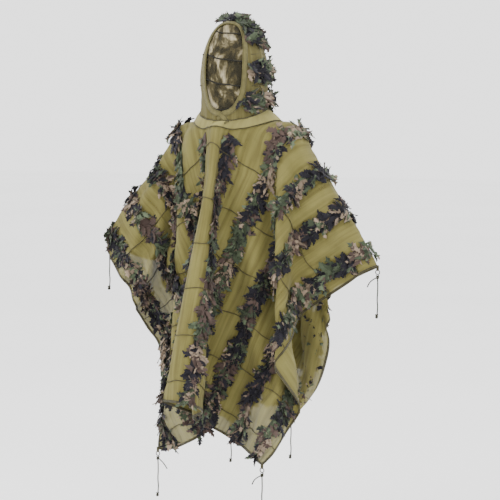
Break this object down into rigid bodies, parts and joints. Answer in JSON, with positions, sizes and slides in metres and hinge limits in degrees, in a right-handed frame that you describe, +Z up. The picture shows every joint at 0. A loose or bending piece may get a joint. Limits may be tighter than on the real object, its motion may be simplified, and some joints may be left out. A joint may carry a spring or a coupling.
{
  "type": "ghillie poncho",
  "caption": "Hooded mesh poncho with leaf-cut camouflage strips, see-through face veil, bound edges and tie cords.",
  "frame": {"origin": "centre of the neck opening, at the seam of hood and yoke", "axes": "+Z up along the wearer's spine, -Y the way the wearer faces, +X to the wearer's left"},
  "size_m": [1.043, 0.8108, 1.5995],
  "materials": {
    "olive_mesh": "sheer matte mesh",
    "yoke_fabric": "fine matte knit",
    "binding_tape": "matte woven tape",
    "leaf_fabric": "printed matte fabric",
    "dark_cord": "matte braid",
    "tie_cord": "matte braid",
    "veil_mesh": "sheer printed mesh"
  },
  "bodies": {
    "poncho": {"back_hem_binding": "binding_tape", "back_mesh": "olive_mesh", "back_tack_cord_1": "dark_cord", "back_tack_cord_2": "dark_cord", "back_tack_cord_3": "dark_cord", "back_tack_cord_4": "dark_cord", "back_tack_cord_5": "dark_cord", "back_tack_cord_6": "dark_cord", "front_hem_binding": "binding_tape", "front_mesh": "olive_mesh", "front_tack_cord_1": "dark_cord", "front_tack_cord_2": "dark_cord", "front_tack_cord_3": "dark_cord", "front_tack_cord_4": "dark_cord", "front_tack_cord_5": "dark_cord", "front_tack_cord_6": "dark_cord", "leaf_strip_back_left_1": "leaf_fabric", "leaf_strip_back_right_1": "leaf_fabric", "leaf_strip_front_left_1": "leaf_fabric", "leaf_strip_front_right_1": "leaf_fabric", "leaf_strip_left_2": "leaf_fabric", "leaf_strip_left_3": "leaf_fabric", "leaf_strip_left_4": "leaf_fabric", "leaf_strip_left_5": "leaf_fabric", "leaf_strip_right_2": "leaf_fabric", "leaf_strip_right_3": "leaf_fabric", "leaf_strip_right_4": "leaf_fabric", "leaf_strip_right_5": "leaf_fabric", "left_side_binding": "binding_tape", "neck_yoke": "yoke_fabric", "right_side_binding": "binding_tape", "tie_loops": "binding_tape"},
    "hood": {"face_opening_binding": "binding_tape", "face_veil": "veil_mesh", "hood_crown": "olive_mesh", "hood_leaf_strip_lower": "leaf_fabric", "hood_leaf_strip_middle": "leaf_fabric", "hood_leaf_strip_top": "leaf_fabric", "hood_left_side": "olive_mesh", "hood_right_side": "olive_mesh", "hood_tack_cord_lower": "dark_cord", "hood_tack_cord_upper": "dark_cord", "veil_cord_brow": "dark_cord", "veil_cord_mouth": "dark_cord", "veil_cord_nose": "dark_cord", "veil_lower_hem": "binding_tape"},
    "tie_front_left": {"tie_cord_front_left": "tie_cord", "tie_knot_front_left": "tie_cord"},
    "tie_front_right": {"tie_cord_front_right": "tie_cord", "tie_knot_front_right": "tie_cord"},
    "tie_back_left": {"tie_cord_back_left": "tie_cord", "tie_knot_back_left": "tie_cord"},
    "tie_back_right": {"tie_cord_back_right": "tie_cord", "tie_knot_back_right": "tie_cord"},
    "tie_side_left": {"tie_cord_side_left": "tie_cord", "tie_knot_side_left": "tie_cord"},
    "tie_side_right": {"tie_cord_side_right": "tie_cord", "tie_knot_side_right": "tie_cord"}
  },
  "joints": [
    {"name": "hood_fold", "type": "hinge", "parent": "poncho", "child": "hood", "pos_m": [0, 0.14, 0.01], "axis": [-1, 0, 0], "range_deg": [0, 100]},
    {"name": "tie_front_left_swing", "type": "hinge", "parent": "poncho", "child": "tie_front_left", "pos_m": [0.25, -0.28, -1.105], "axis": [0, 1, 0], "range_deg": [-40, 40]},
    {"name": "tie_front_right_swing", "type": "hinge", "parent": "poncho", "child": "tie_front_right", "pos_m": [-0.235, -0.13, -1.135], "axis": [0, 1, 0], "range_deg": [-40, 40]},
    {"name": "tie_back_left_swing", "type": "hinge", "parent": "poncho", "child": "tie_back_left", "pos_m": [0.07, 0.24, -1.045], "axis": [0, 1, 0], "range_deg": [-40, 40]},
    {"name": "tie_back_right_swing", "type": "hinge", "parent": "poncho", "child": "tie_back_right", "pos_m": [-0.17, 0.24, -1.085], "axis": [0, 1, 0], "range_deg": [-40, 40]},
    {"name": "tie_side_left_swing", "type": "hinge", "parent": "poncho", "child": "tie_side_left", "pos_m": [0.508, 0, -0.5], "axis": [0, -1, 0], "range_deg": [-10, 45]},
    {"name": "tie_side_right_swing", "type": "hinge", "parent": "poncho", "child": "tie_side_right", "pos_m": [-0.518, 0, -0.467], "axis": [0, 1, 0], "range_deg": [-10, 45]}
  ]
}
